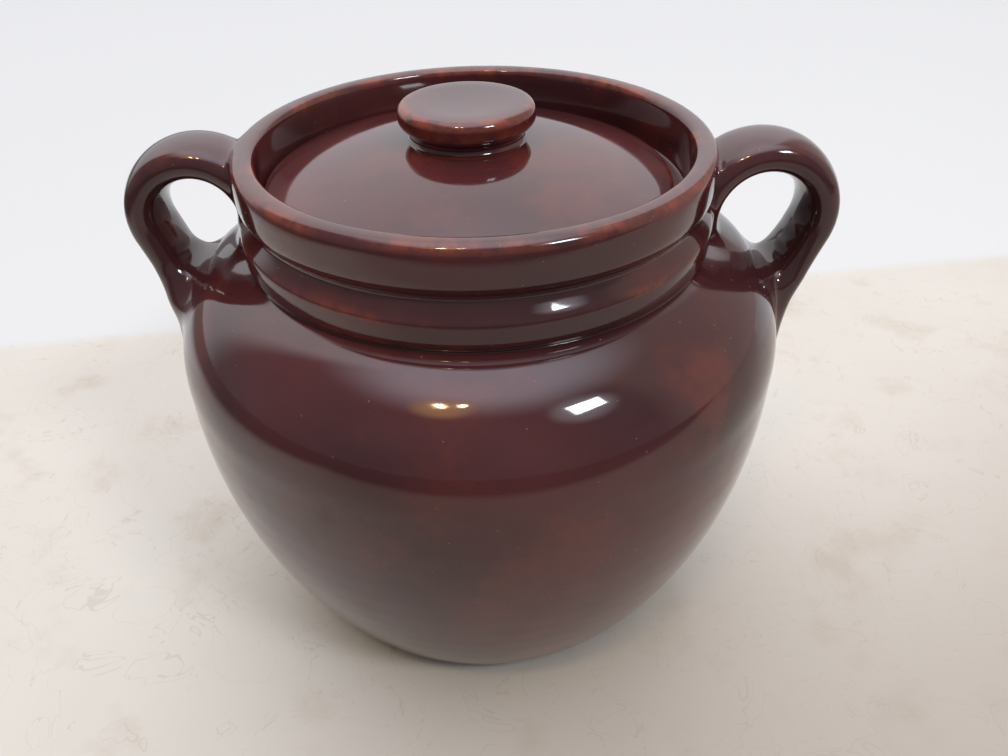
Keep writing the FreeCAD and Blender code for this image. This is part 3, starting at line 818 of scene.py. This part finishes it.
def floor_material():
    """A table that is cream near the pot, with shade painted over it towards the front and the right, paler
    beyond its far edge and dark past its near edge.
    """
    n = Nodes(bpy.data.materials.new("pale_floor"))
    where = n.add("ShaderNodeTexCoord").outputs["Object"]
    parts = n.add("ShaderNodeSeparateXYZ", inputs={0: where})
    across, back = parts.outputs["X"], parts.outputs["Y"]
    grain = n.noise(where, 9.0, 4.0, 0.6)
    cream = n.mix(grain, CREAM_DARK, CREAM_PALE)
    stain = n.ramp(n.noise(where, 22.0, 5.0, 0.62), 0.52, 0.70)
    cream = n.mix(n.maths("MULTIPLY", stain, 0.45), cream, STAIN)
    scratch = n.add("ShaderNodeTexNoise", inputs={
        "Vector": where, "Scale": 34.0, "Detail": 3.0, "Distortion": 1.6,
    })
    line = n.maths("ABSOLUTE", n.maths("SUBTRACT", scratch.outputs["Fac"], 0.5))
    cream = n.mix(n.ramp(line, 0.006, 0.001, 0.0, 0.30), cream, SCRATCH)
    past_edge = n.maths("ADD", back, n.maths("MULTIPLY", across, EDGE_SLANT))
    colour = n.mix(n.ramp(past_edge, *FAR_EDGE), cream, FAR_GROUND)
    # Painted shade, not the table's own colour: the cream darkens towards the front and the right
    near = n.maths("ADD", back, n.maths("MULTIPLY", across, NEAR_SHADE_SLANT))
    colour = n.mix(n.ramp(near, *NEAR_SHADE_SPAN, 0.0, 0.75), colour, PAINTED_NEAR_SHADE)
    seen = n.add("ShaderNodeLightPath").outputs["Is Camera Ray"]
    past_side = n.maths("MAXIMUM", n.ramp(back, *UNLIT_FRONT), n.ramp(across, *UNLIT_LEFT))
    unlit = n.maths("MULTIPLY", past_side, n.maths("SUBTRACT", 1.0, seen))
    colour = n.mix(unlit, colour, UNLIT)
    shader = n.add("ShaderNodeBsdfPrincipled", inputs={"Base Color": colour, "Roughness": 0.55})
    n.add("ShaderNodeOutputMaterial", inputs={0: shader.outputs[0]})
    return n.owner


# Directions from the pot, and how far away the lights stand, in metres
WINDOW = (0.49, -0.50, 0.72)
BULBS = ((-0.20, -0.44, 0.87), (-0.10, -0.44, 0.89), (-0.21, -0.42, 0.89))
LIGHT_AWAY = 1.6
WINDOW_LIGHT = dict(size=(0.30, 0.21), radiance=34.0, colour=(0.93, 0.97, 1.0))
BULB_LIGHT = dict(size=(0.07, 0.07), radiance=60.0, colour=(1.0, 0.78, 0.48), shape="ELLIPSE")
# Glows round the window and the bulbs: direction, angles in degrees where they start and are full, and colour
GLOWS = (
    (WINDOW, 13, 3, (1.7, 1.75, 1.9)),
    (BULBS[0], 11, 3, (2.6, 1.7, 0.75)),
)
# Compass angles of the wall's two ends and of the end of what stands beside it, and heights of the wall's
# shading and of the bright ceiling, in degrees
WALL_LEFT, WALL_RIGHT, BESIDE_RIGHT = (-76, -60), (34, 48), (120, 104)
WALL_HEIGHTS, OVERHEAD_HEIGHTS = (-5, 50), (50, 76)
# Colours of the room: in the dark, the wall behind low and high, beside the wall, overhead, and to the camera
ROOM_DIM, ROOM_LIGHT = (0.16, 0.16, 0.175), (0.34, 0.335, 0.355)
WALL_LOW, WALL_HIGH = (0.80, 0.82, 0.86), (1.65, 1.70, 1.76)
BESIDE, OVERHEAD, SEEN_GROUND = (0.66, 0.53, 0.49), (2.42, 2.38, 2.68), (0.82, 0.84, 0.88)


def make_floor():
    corners = [(x * FLOOR_HALF, y * FLOOR_HALF, 0) for x, y in ((-1, -1), (1, -1), (1, 1), (-1, 1))]
    mesh = bpy.data.meshes.new("floor")
    mesh.from_pydata(corners, [], [(0, 1, 2, 3)])
    mesh.materials.append(floor_material())
    floor = bpy.data.objects.new("floor", mesh)
    bpy.context.scene.collection.objects.link(floor)


def make_world():
    """The room by compass angle, in degrees from the back towards the right, and by height above the table.

    The camera sees a plain pale ground everywhere.
    """
    n = Nodes(bpy.data.worlds.new("room"))
    where = n.add("ShaderNodeTexCoord").outputs["Generated"]
    parts = n.add("ShaderNodeSeparateXYZ", inputs={0: where})
    degree = math.degrees(1.0)
    turn = n.maths("MULTIPLY", n.maths("ARCTAN2", parts.outputs["X"], parts.outputs["Y"]), degree)
    height = n.maths("MULTIPLY", n.maths("ARCSINE", parts.outputs["Z"]), degree)
    haze = n.noise(where, 2.6, 2.0)

    room = n.mix(haze, ROOM_DIM, ROOM_LIGHT)
    wall = n.mix(n.ramp(height, *WALL_HEIGHTS), WALL_LOW, WALL_HIGH)
    behind = n.maths("MULTIPLY", n.ramp(turn, *WALL_LEFT), n.ramp(turn, *WALL_RIGHT[::-1]))
    light = n.mix(behind, room, wall)
    beside = n.maths("MULTIPLY", n.ramp(turn, *WALL_RIGHT), n.ramp(turn, *BESIDE_RIGHT))
    light = n.mix(beside, light, BESIDE)
    light = n.mix(n.ramp(height, *OVERHEAD_HEIGHTS), light, OVERHEAD)
    for direction, wide, narrow, colour in GLOWS:
        ahead = Vector(direction).normalized()
        dot = n.add("ShaderNodeVectorMath", operation="DOT_PRODUCT", inputs={0: where, 1: ahead})
        facing = dot.outputs["Value"]
        glow = n.ramp(facing, math.cos(math.radians(wide)), math.cos(math.radians(narrow)))
        light = n.mix(glow, light, colour)
    shown = n.add("ShaderNodeLightPath").outputs["Is Camera Ray"]
    light = n.mix(shown, light, SEEN_GROUND)
    ground = n.add("ShaderNodeBackground", inputs={0: light, 1: 1.0})
    n.add("ShaderNodeOutputWorld", inputs={0: ground.outputs[0]})
    bpy.context.scene.world = n.owner


def make_light(name, direction, size, radiance, colour, shape="RECTANGLE"):
    """A light that faces the pot from a direction, with the size and the brightness of its face."""
    light = bpy.data.lights.new(name, "AREA")
    light.shape = shape
    light.size, light.size_y = size
    light.color = colour
    area = size[0] * size[1] * (1.0 if shape == "RECTANGLE" else math.pi / 4)
    light.energy = radiance * math.pi * area
    item = bpy.data.objects.new(name, light)
    target = Vector((0, 0, BELLY_HEIGHT * MM))
    ahead = Vector(direction).normalized()
    item.location = target + ahead * LIGHT_AWAY
    item.rotation_mode = "QUATERNION"
    item.rotation_quaternion = ahead.to_track_quat("Z", "Y")
    bpy.context.scene.collection.objects.link(item)


def make_camera():
    """The photograph's view: close above the pot, looking down on the lid. Angles are in radians."""
    pitch, yaw, roll = 0.6448, 0.0310, -0.0179
    away, above_rim = 218.0, 80.1
    focal, image_width, sensor = 815.0, 1008.0, 36.0
    data = bpy.data.cameras.new("camera")
    data.sensor_width = sensor
    data.lens = focal / image_width * sensor
    data.clip_start, data.clip_end = 0.01, 50
    camera = bpy.data.objects.new("camera", data)
    ahead = Vector((math.sin(yaw) * math.cos(pitch), math.cos(yaw) * math.cos(pitch), -math.sin(pitch)))
    right = Vector((math.cos(yaw), -math.sin(yaw), 0))
    up = right.cross(ahead)
    turned_right = math.cos(roll) * right + math.sin(roll) * up
    turned_up = -math.sin(roll) * right + math.cos(roll) * up
    turn = Matrix((turned_right, turned_up, -ahead)).transposed()
    camera.matrix_world = Matrix.Translation((0, -away * MM, (LEVEL["rim"] + above_rim) * MM)) @ turn.to_4x4()
    bpy.context.scene.collection.objects.link(camera)
    bpy.context.scene.camera = camera


make_floor()
make_world()
make_light("window", WINDOW, **WINDOW_LIGHT)
for number, direction in enumerate(BULBS):
    make_light(f"bulb_{number}", direction, **BULB_LIGHT)
make_camera()
bpy.context.scene.view_settings.view_transform = "Standard"
